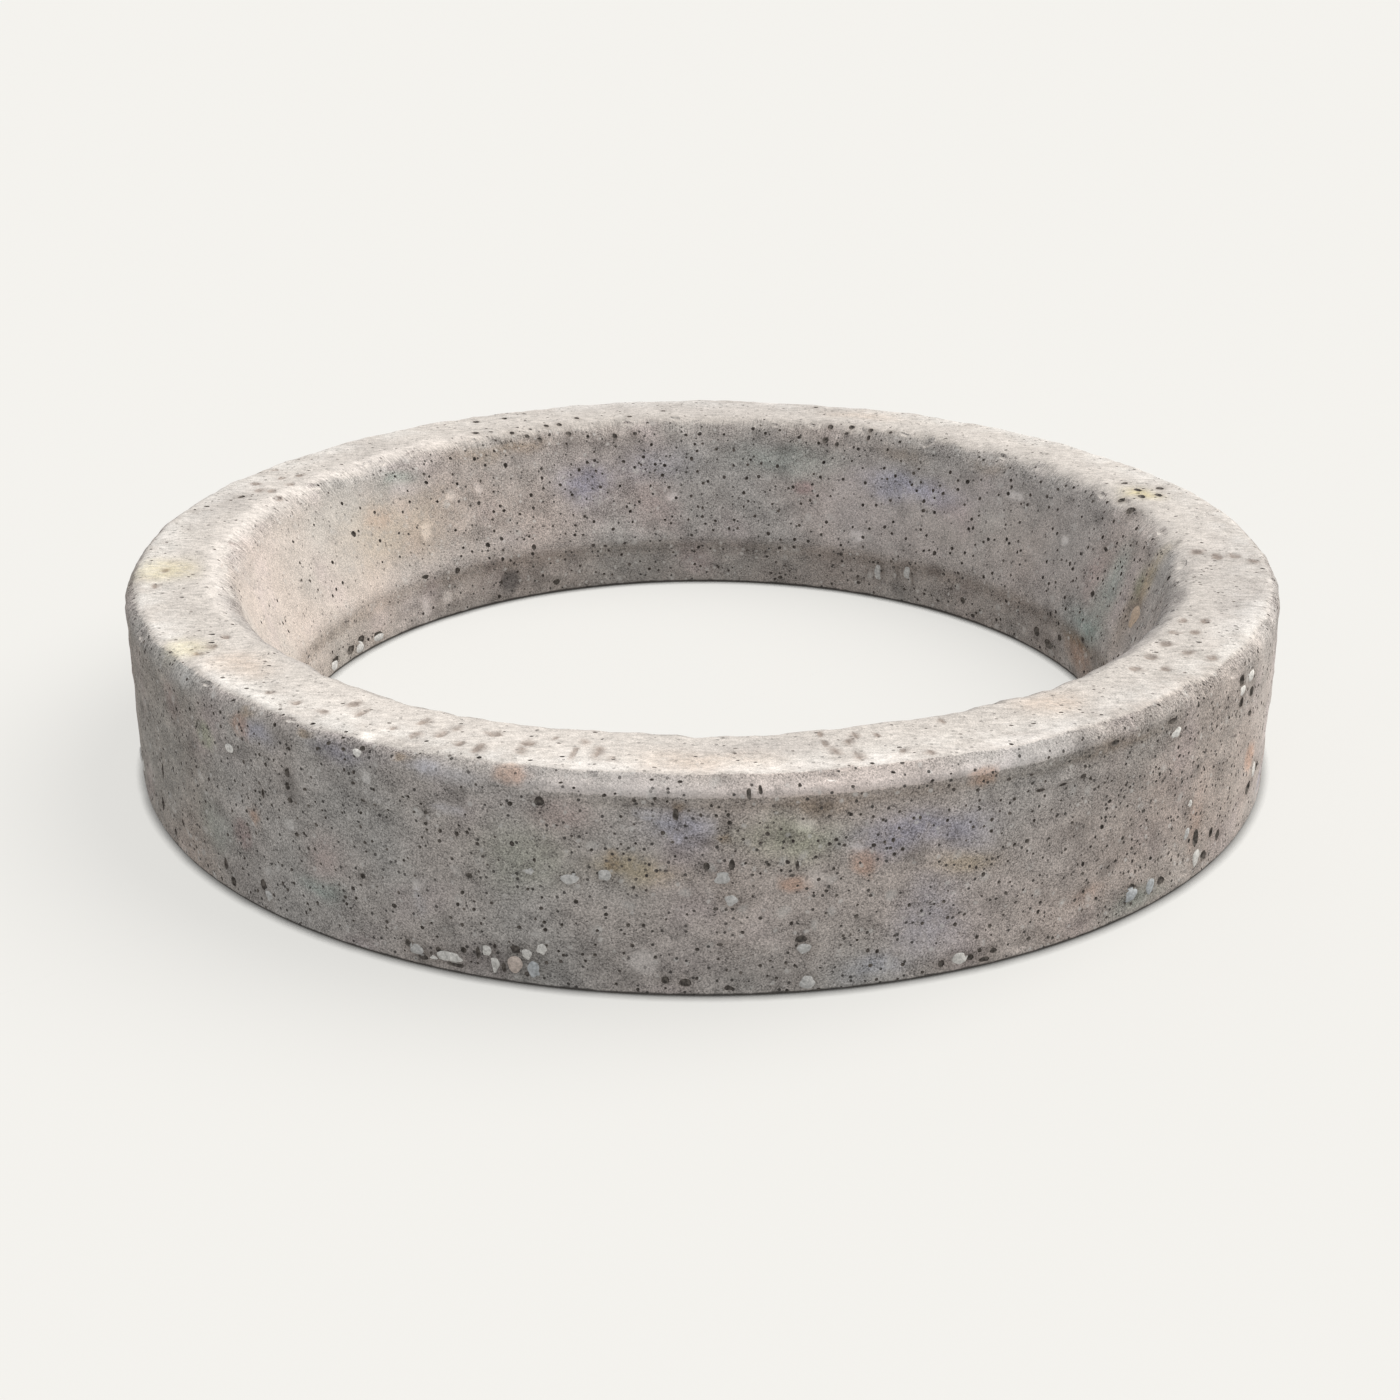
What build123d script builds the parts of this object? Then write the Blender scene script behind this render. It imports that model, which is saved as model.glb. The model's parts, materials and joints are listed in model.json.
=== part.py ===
"""Precast concrete tree pit ring: one cast piece, turned from a single section.

Millimetres, +Z up. The origin is the centre of the ring on the level that it stands on.
The outside is upright. Inside, a short upright band at the foot gives way to a face that
flares outwards to the mouth, so the ring is widest at its foot and soil can't lift it.
"""

import os

from build123d import *

# Overall size
OUTER_DIAMETER = 1200.0
HEIGHT = 204.0

# Thickness of the wall, measured inwards from the upright outer face
FOOT_WIDTH = 155.0  # along the ground
RIM_WIDTH = 104.0  # where the flared face would meet the top, before it is rounded

# Upright band inside the foot, below the flared face
BAND_HEIGHT = 65.0

# Rounded edges
RIM_ROUND = 18.0  # outer edge of the top
MOUTH_ROUND = 35.0  # inner edge of the top, rolled over into the flared face
KNEE_ROUND = 40.0  # between the flared face and the upright band
FOOT_ROUND = 4.0  # both edges of the foot

# Radii that follow from the sizes above
OUTER_RADIUS = OUTER_DIAMETER / 2
BORE_RADIUS = OUTER_RADIUS - FOOT_WIDTH
MOUTH_RADIUS = OUTER_RADIUS - RIM_WIDTH


def ring_section():
    """Section through the wall, in the XZ plane: each corner with the radius that rounds it."""
    corners = [
        ((BORE_RADIUS, 0), FOOT_ROUND),
        ((OUTER_RADIUS, 0), FOOT_ROUND),
        ((OUTER_RADIUS, HEIGHT), RIM_ROUND),
        ((MOUTH_RADIUS, HEIGHT), MOUTH_ROUND),
        ((BORE_RADIUS, BAND_HEIGHT), KNEE_ROUND),
    ]
    with BuildSketch(Plane.XZ) as section:
        with BuildLine():
            FilletPolyline(
                *[point for point, _ in corners],
                radius=[round_radius for _, round_radius in corners],
                close=True,
            )
        make_face()
    return section.sketch


def concrete_ring():
    """The casting: the section turned once round the upright axis."""
    ring = revolve(ring_section(), axis=Axis.Z, revolution_arc=360)
    ring.label = "concrete_ring"
    return ring


if __name__ == "__main__":
    os.makedirs("parts", exist_ok=True)
    export_step(concrete_ring(), "parts/concrete_ring.step")
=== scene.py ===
import json
import math

import bmesh
import bpy
import numpy as np
from mathutils import Matrix, Vector, noise


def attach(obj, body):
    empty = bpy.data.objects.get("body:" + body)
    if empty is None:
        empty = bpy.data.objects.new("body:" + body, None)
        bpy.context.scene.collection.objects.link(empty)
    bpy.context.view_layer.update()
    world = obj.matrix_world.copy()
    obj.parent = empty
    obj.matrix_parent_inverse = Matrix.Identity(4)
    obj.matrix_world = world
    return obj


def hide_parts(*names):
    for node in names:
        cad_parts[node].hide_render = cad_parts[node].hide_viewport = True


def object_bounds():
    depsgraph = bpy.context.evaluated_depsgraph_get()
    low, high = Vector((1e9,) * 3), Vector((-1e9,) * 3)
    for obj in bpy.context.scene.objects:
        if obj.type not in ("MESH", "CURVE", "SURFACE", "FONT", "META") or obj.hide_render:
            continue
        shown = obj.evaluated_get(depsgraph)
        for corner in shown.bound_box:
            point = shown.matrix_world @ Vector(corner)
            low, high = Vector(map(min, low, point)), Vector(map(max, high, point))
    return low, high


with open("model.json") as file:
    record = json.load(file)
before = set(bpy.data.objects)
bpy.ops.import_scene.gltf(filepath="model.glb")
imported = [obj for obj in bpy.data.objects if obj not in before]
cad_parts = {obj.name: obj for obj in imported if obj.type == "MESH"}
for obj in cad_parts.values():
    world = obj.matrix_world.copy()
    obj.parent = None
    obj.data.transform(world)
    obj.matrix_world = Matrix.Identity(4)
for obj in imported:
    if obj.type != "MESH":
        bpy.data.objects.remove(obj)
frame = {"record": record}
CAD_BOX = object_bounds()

# Section of the casting
OUTER_RADIUS = CAD_BOX[1].x
HEIGHT = CAD_BOX[1].z
MOUNTS = {mount["name"]: mount for mount in frame["record"]["mounts"]}
BORE_RADIUS = MOUNTS["tree_opening"]["dims"]["r_mm"] / 1000
RIM_WIDTH = 0.104
BAND_HEIGHT = 0.065
RIM_ROUND = 0.018
MOUTH_ROUND = 0.035
KNEE_ROUND = 0.040
FOOT_ROUND = 0.004
MOUTH_RADIUS = OUTER_RADIUS - RIM_WIDTH
FLARE_SLOPE = (MOUTH_RADIUS - BORE_RADIUS) / (HEIGHT - BAND_HEIGHT)
FLARE_ANGLE = math.atan(FLARE_SLOPE)

# Fineness of the casting's mesh
TURN_STEPS = 440
CELL = 0.0070
ROUND_CELL = 0.0054
RIM_CELL = 0.0028
BASE_CELL = 0.03

# Sizes and number of the scattered blow holes
PORE_COUNT = 3350
SMALL_PORE = 0.0012
LARGE_PORE = 0.0022
RARE_PORE = 0.0030
RARE_SHARE = 0.04
SMALL_BIAS = 1.2
INSIDE_PORES = 1.45
TOP_PORES = 0.8
TOP_STRETCH = 1.5
PORE_STRETCH = (1.0, 1.25)
PORE_DEPTHS = (0.9, 1.3)

# Where blow holes crowd or are fewer: a stretch has its first and last bearing and a taper
INSIDE_SHARE = 0.85
TOP_SHARE = 0.45
TOP_LAYER = 0.010
FOOT_MARGIN = 0.007
RIGHT_CROWD = 0.9
RIGHT_STRETCH = (25, 110, 15)
LEFT_THINNING = 0.72
LEFT_STRETCH = (-150, -45, 25)

# How hollows are cut: half sizes below which a cup, a coarse ball or a finer ball does, then the rest
CUP_PORE = 0.0027
FINE_PORE = 0.0042
BROAD_PORE = 0.0090
CUP_LIFT = 0.2
CUP_WIDER = 1.25
PORE_GAP = 0.0005
NEIGHBOURHOOD = 0.06
DEEPEST_HOLLOW = 0.0035
DISH_WIDER = 1.15
BALL_KINDS = 9
MOST_MARKS = 8000

# Depths and sizes of single marks, as shares of the half sizes that the lists give
HOLLOW_DEPTH = 0.9
DENT_DEPTH = 0.30
PIT_SIZE = 0.8
PIT_DEPTH = 0.5
GROOVE_DEPTH = 0.45
SCAR_SIZE = 1.3
SCAR_DEPTH = 0.0005

# How far dirt or colour reaches about a mark, as a share of its half sizes, and how strong it is; in
# the grooves the darkening is dirt and painted shade
HOLLOW_DIRT = (1.5, 0.6)
DENT_DUST = (0.85, 0.85)
PIT_DIRT = (1.1, 0.8)
GROOVE_DIRT_AND_SHADE = (1.0, 1.0)
FLECK_COLOUR = (1.1, 1.0)
STONE_DIRT = (1.6, 0.8)

# Stones and empty sockets of the patches: half lengths, height to length, turn, share on end
PATCH_STONES = (0.0045, 0.0095)
PATCH_FLATNESS = (0.55, 0.95)
PATCH_TURN = 0.7
PATCH_ON_END = 0.35
PATCH_FLOOR = 0.003
SOCKET_SIZE = 0.7

# Chips: half widths, length to width, depths, shift off their edge, turn
CHIP_WIDTHS = (0.0035, 0.0070)
CHIP_STRETCH = (1.1, 2.6)
CHIP_DEPTHS = (0.0010, 0.0022)
CHIP_SHIFT = 0.004
CHIP_TURN = 0.6

# Start of every random draw
SEED = 20


def round_the_ring(bearing, radius, height):
    """The point at a bearing, a distance from the axis and a height."""
    turn = math.radians(bearing)
    return Vector((radius * math.sin(turn), -radius * math.cos(turn), height))


def outer(bearing, height):
    """A point on the upright outer wall."""
    return round_the_ring(bearing, OUTER_RADIUS, height)


def inner(bearing, height):
    """A point on the flared face, or on the upright band below it."""
    flare = max(0.0, height - BAND_HEIGHT) * FLARE_SLOPE
    return round_the_ring(bearing, BORE_RADIUS + flare, height)


def top(bearing, radius):
    """A point on the flat top."""
    return round_the_ring(bearing, radius, HEIGHT)


def in_metres(rows):
    """A list's rows, with the three lengths after each bearing turned from millimetres to metres."""
    for row in rows:
        after = 1 + next(index for index, cell in enumerate(row) if isinstance(cell, (int, float)))
        lengths = [length / 1000 for length in row[after : after + 3]]
        yield *row[:after], *lengths, *row[after + 3 :]


# Worn stretches of the outer arris: first and last bearing, and how far in the wear reaches
WORN_ARRIS = [
    (-15.0, 13.5, 0.0108),
    (13.5, 24.5, 0.0092),
    (112, 131, 0.0150),
    (187, 215, 0.0155),
    (238, 247, 0.0145),
]
WEAR_SLOPE = 1.15
WEAR_TAPER = 1.2

# First and last bearing of the shoulder made pale: partly wear, partly painted light on its up-facing
# bevel
RUBBED_LIT_SHOULDER = (-18, 36)

# Ridges left by the mould: face, bearing, then in millimetres height, half length, half height
RIDGES = [
    (outer, -27, 150, 22, 4), (outer, -24.5, 166, 16, 4), (outer, -28.5, 128, 14, 4),
    (outer, -30.5, 140, 5, 26), (outer, -22.5, 135, 5, 18), (outer, -23, 78, 18, 4),
    (outer, -27, 70, 4, 20), (outer, -35.5, 150, 5, 24), (outer, -4, 100, 22, 4),
    (outer, 0, 162, 12, 10), (outer, -4.2, 172, 14, 4), (outer, -2.4, 160, 6, 10),
    (outer, 31, 166, 26, 4), (outer, 29, 178, 20, 3), (inner, 148.5, 42, 5, 10),
    (inner, 143, 42, 5, 10), (inner, -137, 20, 12, 12), (inner, -154.5, 26, 14, 4),
]
RIDGE_RISE = 0.0030

# How quickly a tint ends at its edge, and how deep it goes
SOFT_FALL = 1.3
CRISP_FALL = 4.0
TINT_DEPTH = 0.03

# Dents in the top and the mouth's round: bearing, then in millimetres radius, half length, half width
DENTS = [
    (-42.5, 568, 4.5, 6.5), (-39, 567, 4.5, 6.5), (-35.5, 567, 7, 4.5), (-34.5, 540, 7, 9),
    (-32.5, 550, 4, 13), (-28, 563, 3.5, 5.5), (-26.5, 538, 4.5, 9.5), (-25.5, 567, 4.5, 9),
    (-23.5, 555, 5, 11), (-23, 539, 6.5, 6.5), (-21, 568, 4.5, 8.5), (-19, 574, 4, 15),
    (-19, 540, 9, 7.5), (-15.5, 548, 8, 8.5), (-15.5, 566, 3.5, 9), (-13.5, 531, 3, 5.5),
    (-11, 559, 3, 15), (-10.5, 536, 3.5, 7), (-9, 556, 3, 15), (-8.5, 530, 2.5, 9),
    (-7.5, 566, 2.5, 4.5), (11, 521, 3, 6), (11, 540, 3.5, 9), (11.5, 557, 3.5, 11.5),
    (13, 543, 2.5, 6.5), (13, 572, 3, 13), (14, 531, 2.5, 8), (15, 521, 3, 7), (16, 535, 2.5, 5.5),
    (17, 571, 4, 5.5), (19, 582, 3.5, 7), (23, 526, 3, 6.5), (47.5, 535, 7.5, 7.5),
    (49.5, 556, 6, 6), (51.5, 530, 8, 7.5), (54.5, 578, 7, 6.5), (54.5, 553, 7, 6.5),
    (55.5, 528, 8, 7.5), (59, 523, 7, 6), (60, 541, 7, 6.5), (62.5, 522, 8, 5), (63.5, 541, 7, 5.5),
    (84, 578, 8, 8), (85, 541, 12, 7.5), (85.5, 560, 12, 7.5), (86.5, 522, 11, 9),
    (-118, 573, 5, 5), (-117.5, 535, 6.5, 6), (-115.5, 546, 7, 5), (-114, 524, 7, 6),
    (-112, 559, 8, 6.5), (-110.5, 529, 8.5, 6), (-110, 543, 8, 5.5), (-108.5, 508, 7, 5.5),
    (-80.5, 561, 8, 4.5), (-76, 570, 10, 3.5), (-57.5, 534, 7, 5.5), (-56, 553, 6.5, 6),
    (-55, 571, 6, 6),
]

# Soft grooves in the walls, in the same form as the ridges
GROOVES = [
    (inner, 153.5, 21, 13, 2.5), (inner, 152, 35, 3.5, 8.5), (inner, 149, 35, 3.5, 10),
    (inner, 146.5, 39, 3, 11), (inner, 143.5, 37, 2.5, 12.5),
]

# Dark round pits in the top, in the same form as the dents
PITS = [
    (105.5, 496, 10, 8.5), (108, 547, 8.5, 6.5), (108, 525, 8.5, 6.5), (109, 502, 9, 6.5),
    (110.5, 563, 9, 6.5), (111, 537, 9, 7), (114, 537, 6, 6), (152, 501, 5, 4.5), (155, 501, 5, 6),
    (155, 481, 3.5, 6), (158, 505, 6, 6.5), (158.5, 489, 5, 4.5), (159, 452, 5, 5),
    (161, 499, 6, 6.5), (162, 457, 6, 6), (165, 572, 5, 4), (185.5, 536, 5, 5), (190, 470, 5, 4.5),
    (190.5, 517, 5, 4), (193.5, 469, 5, 6.5), (198, 524, 5.5, 6.5), (200, 484, 6, 6),
    (201, 510, 5.5, 6.5), (203, 509, 5.5, 5.5), (204.5, 480, 5, 5), (206.5, 490, 5, 5),
    (207, 562, 6, 6), (208.5, 503, 5, 5), (211, 563, 7, 6), (213.5, 518, 7, 5.5),
    (253, 549, 8, 5.5),
]

# Patches where the mortar has run out and stones show: face, bearing, height, spreads, stones, hollows
HONEYCOMB = [
    (outer, 104, 0.024, 0.060, 0.012, 7, 8),
    (outer, 137, 0.022, 0.030, 0.010, 4, 5),
    (outer, 176, 0.030, 0.080, 0.014, 11, 11),
    (outer, 214, 0.020, 0.040, 0.010, 4, 6),
    (outer, 251, 0.026, 0.060, 0.013, 8, 9),
    (outer, 286, 0.022, 0.030, 0.010, 3, 5),
    (inner, 60.0, 0.020, 0.050, 0.009, 5, 5),
    (inner, 8.0, 0.020, 0.060, 0.009, 6, 6),
    (inner, -52.0, 0.020, 0.050, 0.009, 5, 5),
]

# Colours of the stones
WHITE_STONE = (0.76, 0.74, 0.70)
GREY_STONE = (0.60, 0.59, 0.57)
BLUE_STONE = (0.50, 0.52, 0.53)
PINK_STONE = (0.63, 0.54, 0.48)
TAN_STONE = (0.60, 0.47, 0.36)
STONE_COLOURS = [WHITE_STONE, GREY_STONE, BLUE_STONE, PINK_STONE]

# Single stones: colour, face, bearing, then in millimetres height, half length, half height
STONES = [
    (GREY_STONE, outer, -24.3, 16, 7, 5.5), (WHITE_STONE, outer, -22.7, 12, 4, 2),
    (WHITE_STONE, outer, -21, 16, 12, 4.5), (WHITE_STONE, outer, -17.8, 30, 4.5, 5.5),
    (WHITE_STONE, outer, -17.2, 17, 4, 8.5), (PINK_STONE, outer, -15.5, 19, 7, 9),
    (WHITE_STONE, outer, -14.4, 32, 4.5, 5), (BLUE_STONE, outer, -13.8, 18, 5.5, 7),
    (WHITE_STONE, outer, -13.1, 38, 4.5, 5.5), (GREY_STONE, outer, -41, 18, 5, 6),
    (GREY_STONE, outer, -13.9, 111, 4, 3.5), (GREY_STONE, outer, -10.5, 108, 8.5, 4.5),
    (GREY_STONE, outer, -7.8, 114, 5.5, 5), (GREY_STONE, outer, 1.6, 113, 7, 5.5),
    (GREY_STONE, outer, 2.2, 92, 5.5, 5), (GREY_STONE, outer, 8.5, 12, 6.5, 5.5),
    (GREY_STONE, outer, 8.3, 44, 6.5, 5), (WHITE_STONE, outer, 21.6, 14, 7, 6),
    (BLUE_STONE, outer, 40.3, 22, 8, 6.5), (BLUE_STONE, outer, 43, 22, 6.5, 8.5),
    (WHITE_STONE, outer, 44.7, 169, 7, 5.5), (WHITE_STONE, outer, 48.1, 87, 4, 3.5),
    (GREY_STONE, outer, 48.2, 56, 4.5, 6.5), (WHITE_STONE, outer, 50.2, 23, 6.5, 9.5),
    (WHITE_STONE, outer, 56.9, 169, 7.5, 5), (WHITE_STONE, outer, 59.3, 176, 8, 5.5),
    (WHITE_STONE, outer, 63.7, 60, 6.5, 8.5), (WHITE_STONE, outer, -44.9, 152, 7.5, 4.5),
    (WHITE_STONE, outer, -29.3, 193, 4.5, 3), (GREY_STONE, inner, -119.4, 10, 9, 4),
    (GREY_STONE, inner, -114.4, 11, 9, 5.5), (GREY_STONE, inner, -106.9, 9, 9, 4.5),
    (GREY_STONE, inner, 150.1, 35, 5, 9.5), (GREY_STONE, inner, 144.8, 42, 5, 9),
    (TAN_STONE, inner, 89, 124, 18, 13),
]
STONE_PROUD = 0.5
STONE_DEPTH = 0.55
STONE_WIDER = 1.26

# Single hollows, in the same form as the ridges
HOLLOWS = [
    (outer, -61.4, 32, 4, 8.5), (outer, -60.1, 72, 4, 9), (outer, -58, 16, 3.5, 4.5),
    (outer, -55.4, 37, 3, 5), (outer, -47.2, 28, 4, 7), (outer, -46.1, 14, 4.5, 6),
    (outer, -41.5, 28, 5.5, 6.5), (outer, -40.6, 122, 2.5, 5.5), (outer, -37.2, 140, 3, 4.5),
    (outer, -37.1, 153, 3.5, 5), (outer, -37, 127, 4, 3.5), (outer, -36.7, 177, 3.5, 2.5),
    (outer, -36.5, 95, 3.5, 3), (outer, -29.7, 163, 3, 2), (outer, -29.4, 75, 3.5, 3.5),
    (outer, -28.8, 199, 4, 3), (outer, -28.7, 150, 3.5, 2), (outer, -25.2, 20, 4.5, 4.5),
    (outer, -23.8, 10, 6, 3), (outer, -22.8, 141, 3, 2.5), (outer, -22.8, 151, 3, 2.5),
    (outer, -22.3, 21, 3.5, 3.5), (outer, -20.7, 10, 11, 3), (outer, -19.9, 26, 4, 4),
    (outer, -19.1, 99, 3.5, 3), (outer, -18.6, 26, 2.5, 7), (outer, -17.1, 35, 2.5, 3.5),
    (outer, -16.4, 15, 2.5, 5.5), (outer, -15.3, 35, 5.5, 5), (outer, -14.4, 12, 3, 3.5),
    (outer, -12.9, 177, 5, 5), (outer, -3, 16, 4, 4.5), (outer, -2.1, 172, 3, 6),
    (outer, -1.4, 14, 6.5, 4.5), (outer, 0.3, 125, 3.5, 4.5), (outer, 1.4, 51, 4, 2),
    (outer, 2.1, 9, 5, 3), (outer, 2.1, 165, 3, 2.5), (outer, 2.3, 126, 3, 6),
    (outer, 3.6, 191, 2.5, 8), (outer, 4.5, 192, 2, 7), (outer, 7.1, 114, 4, 2),
    (outer, 7.5, 123, 2, 5.5), (outer, 7.9, 53, 6, 4), (outer, 13.5, 36, 2.5, 3),
    (outer, 14.3, 34, 3, 3), (outer, 20, 12, 4, 4.5), (outer, 22.6, 13, 4.5, 4),
    (outer, 24, 8, 7, 3), (outer, 24.8, 15, 4.5, 3.5), (outer, 28.5, 160, 6, 2),
    (outer, 30.8, 160, 5, 2), (outer, 33, 162, 4.5, 3), (outer, 36.4, 184, 7, 3.5),
    (outer, 40.1, 31, 6.5, 4), (outer, 43.9, 183, 8.5, 3), (outer, 44.4, 22, 7, 5),
    (outer, 49.8, 45, 6, 10.5), (outer, 51.6, 19, 7, 7), (outer, 52.9, 38, 5, 6),
    (outer, 54.5, 29, 5, 7), (outer, 56.6, 180, 8, 7), (outer, 56.9, 157, 6.5, 6.5),
    (outer, 59.8, 157, 9, 6.5), (outer, 59.8, 135, 6, 3.5), (outer, 62.3, 46, 9.5, 8.5),
    (outer, 65.5, 56, 8, 5.5), (inner, -107, 14, 10.5, 7), (inner, -111.9, 15, 9, 6),
    (inner, -114.9, 20, 8, 6), (inner, -119, 15, 9.5, 4.5), (inner, -130.6, 62, 6.5, 3.5),
    (inner, -155.2, 15, 5.5, 4.5), (inner, 133.8, 25, 4.5, 5), (inner, 116.9, 25, 6, 7.5),
    (inner, 113.6, 18, 9, 6.5), (inner, 110.5, 35, 5, 4.5), (inner, 106.2, 151, 6, 3),
    (inner, 103.2, 53, 5.5, 4),
]


def deselect_all():
    """Leaves nothing selected."""
    bpy.ops.object.select_all(action="DESELECT")


def take_up(piece):
    """Makes a piece the only one selected, and the active one."""
    deselect_all()
    piece.select_set(True)
    bpy.context.view_layer.objects.active = piece


def select_corner(piece, radius, height):
    """Selects the one point of the section that is nearest to a radius and a height."""
    bpy.ops.mesh.select_all(action="DESELECT")
    mesh = bmesh.from_edit_mesh(piece.data)
    corner = min(mesh.verts, key=lambda point: math.hypot(point.co.x - radius, point.co.z - height))
    corner.select_set(True)
    bmesh.update_edit_mesh(piece.data)


def move_corner(piece, radius, height, new_radius, new_height):
    """Moves one corner of the section."""
    select_corner(piece, radius, height)
    bpy.ops.transform.translate(value=(new_radius - radius, 0, new_height - height))


def round_corner(piece, radius, height, round_radius, turn, cell=ROUND_CELL):
    """Rounds one corner of the section, where its outline turns by an angle."""
    select_corner(piece, radius, height)
    bpy.ops.mesh.bevel(
        affect="VERTICES",
        offset=round_radius * math.tan(turn / 2),
        segments=max(2, round(round_radius * turn / cell)),
        profile=0.5,
    )


def divide_edge(piece, wanted, cuts):
    """Cuts the one edge of the section that wanted picks into even lengths."""
    bpy.ops.mesh.select_all(action="DESELECT")
    mesh = bmesh.from_edit_mesh(piece.data)
    edge = next(edge for edge in mesh.edges if wanted(edge))
    edge.select_set(True)
    bmesh.update_edit_mesh(piece.data)
    bpy.ops.mesh.subdivide(number_cuts=cuts)


def cell_of(edge):
    """How long a cell may be on an edge: wide ones lie along the base, which doesn't show."""
    on_base = max(point.co.z for point in edge.verts) < FOOT_ROUND / 2
    return BASE_CELL if on_base else CELL


def too_long(edge):
    """Whether an edge of the section is still much longer than a cell."""
    return edge.calc_length() > 1.5 * cell_of(edge)


def model_section():
    """The casting's section, upright in the XZ plane: a plate, shaped, rounded and divided."""
    foot_width = OUTER_RADIUS - BORE_RADIUS
    middle = (OUTER_RADIUS + BORE_RADIUS) / 2
    deselect_all()
    square = math.pi / 2
    bpy.ops.mesh.primitive_plane_add(size=1, location=(middle, 0, HEIGHT / 2), rotation=(square, 0, 0))
    bpy.ops.object.transform_apply(location=True, rotation=True, scale=True)
    section = bpy.context.active_object
    bpy.ops.object.mode_set(mode="EDIT")
    bpy.ops.transform.resize(value=(foot_width, 1, HEIGHT), center_override=(middle, 0, HEIGHT / 2))
    divide_edge(section, lambda edge: max(point.co.x for point in edge.verts) < middle, 1)
    move_corner(section, BORE_RADIUS, HEIGHT / 2, BORE_RADIUS, BAND_HEIGHT)
    move_corner(section, BORE_RADIUS, HEIGHT, MOUTH_RADIUS, HEIGHT)
    round_corner(section, OUTER_RADIUS, HEIGHT, RIM_ROUND, square, RIM_CELL)
    round_corner(section, MOUTH_RADIUS, HEIGHT, MOUTH_ROUND, square - FLARE_ANGLE)
    round_corner(section, BORE_RADIUS, BAND_HEIGHT, KNEE_ROUND, FLARE_ANGLE)
    round_corner(section, BORE_RADIUS, 0, FOOT_ROUND, square)
    round_corner(section, OUTER_RADIUS, 0, FOOT_ROUND, square)
    while any(too_long(edge) for edge in bmesh.from_edit_mesh(section.data).edges):
        longest = next(edge for edge in bmesh.from_edit_mesh(section.data).edges if too_long(edge))
        parts = round(longest.calc_length() / cell_of(longest))
        divide_edge(section, too_long, parts - 1)
    bpy.ops.mesh.select_all(action="SELECT")
    bpy.ops.mesh.delete(type="ONLY_FACE")
    return section


def order_faces(piece):
    """Puts a mesh's faces in a fixed order, because merging points leaves another one on each run."""
    points = points_of(piece)
    faces = []
    for face in piece.data.polygons:
        corners = list(face.vertices)
        first = corners.index(min(corners))
        faces.append(corners[first:] + corners[:first])
    piece.data.clear_geometry()
    piece.data.from_pydata(points, [], sorted(faces))


def spin_casting():
    """The plain casting: its section turned once round the upright axis."""
    casting = model_section()
    bpy.ops.mesh.select_all(action="SELECT")
    bpy.ops.mesh.spin(steps=TURN_STEPS, angle=2 * math.pi, center=(0, 0, 0), axis=(0, 0, 1))
    bpy.ops.mesh.select_all(action="SELECT")
    bpy.ops.mesh.remove_doubles(threshold=1e-5)
    bpy.ops.mesh.normals_make_consistent(inside=False)
    bpy.ops.object.mode_set(mode="OBJECT")
    order_faces(casting)
    casting.name = "weathered_ring"
    return casting


def points_of(piece):
    """A mesh's points as rows of an array."""
    places = np.empty(len(piece.data.vertices) * 3)
    piece.data.vertices.foreach_get("co", places)
    return places.reshape(-1, 3)


def polar(points):
    """Distance from the axis, bearing in degrees and height of each point."""
    radius = np.hypot(points[:, 0], points[:, 1])
    bearing = np.degrees(np.arctan2(points[:, 0], -points[:, 1]))
    return radius, bearing, points[:, 2]


def ramp(values, low, high):
    """0 below low, 1 above high, and an even slope between."""
    return np.clip((values - low) / (high - low), 0, 1)


def add_weights(piece, name, weights):
    """A vertex group with a weight for each point."""
    group = piece.vertex_groups.new(name=name)
    for index in np.nonzero(weights)[0]:
        group.add([int(index)], float(weights[index]), "REPLACE")


def rim_angle(radius, height):
    """Where a point lies on the rim's round: 0 at the wall, 90 degrees at the top."""
    return np.arctan2(height - (HEIGHT - RIM_ROUND), radius - (OUTER_RADIUS - RIM_ROUND))


def waver(points, pitch):
    """Noise from -1 to 1 that changes only round the ring, about once in each pitch."""
    rows = points[:, :2] / np.hypot(points[:, 0], points[:, 1])[:, None] * (OUTER_RADIUS / pitch)
    return np.array([noise.noise(Vector((x, y, 0))) for x, y in rows])


def within(bearing, first, last, taper):
    """1 on a stretch of bearings, falling to 0 over a taper at both its ends."""
    half = (last - first) / 2
    off_middle = np.abs((bearing - first - half + 180) % 360 - 180)
    return ramp(half - off_middle, 0, taper)


def worn_arris(points):
    """How far the worn arris lies outside the plain round at each point, below 0 if inside."""
    radius, bearing, height = polar(points)
    lean = rim_angle(radius, height)
    on_round = (height > HEIGHT - RIM_ROUND) & (radius > OUTER_RADIUS - RIM_ROUND)
    upright = np.where(on_round, np.cos(lean), 1)
    level = np.where(on_round, np.sin(lean), 1)
    change = np.zeros(len(points))
    unevenness = 1 + 0.16 * waver(points, 0.060) + 0.10 * waver(points, 0.014)
    for first, last, inwards in WORN_ARRIS:
        reach_in = inwards * unevenness
        reach_down = WEAR_SLOPE * reach_in
        slant = RIM_ROUND * (reach_in + reach_down) - reach_in * reach_down
        to_slant = slant / (reach_down * upright + reach_in * level)
        to_faces = RIM_ROUND / np.maximum(upright, level)
        worn = np.minimum(to_slant, to_faces) - RIM_ROUND
        change += within(bearing, first, last, WEAR_TAPER) * worn
    return np.where(on_round, change, 0)


def spread(points, spot, axes, half_length, half_height, fall=SOFT_FALL):
    """How near each point is to a spot on a face: 1 there, falling off over the half sizes."""
    away = (points - np.array(spot)) @ np.array(axes)
    reach = (away / np.array((half_length, half_height, TINT_DEPTH))) ** 2
    return np.exp(-reach.sum(axis=1) ** fall)


def ridge_rise(casting, points):
    """Where the ridges stand, from 0 to 1."""
    rises = []
    for face, bearing, height, half_length, half_height in in_metres(RIDGES):
        rises.append(spread(points, *seat(casting, face(bearing, height)), half_length, half_height))
    return np.max(rises, axis=0)


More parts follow.
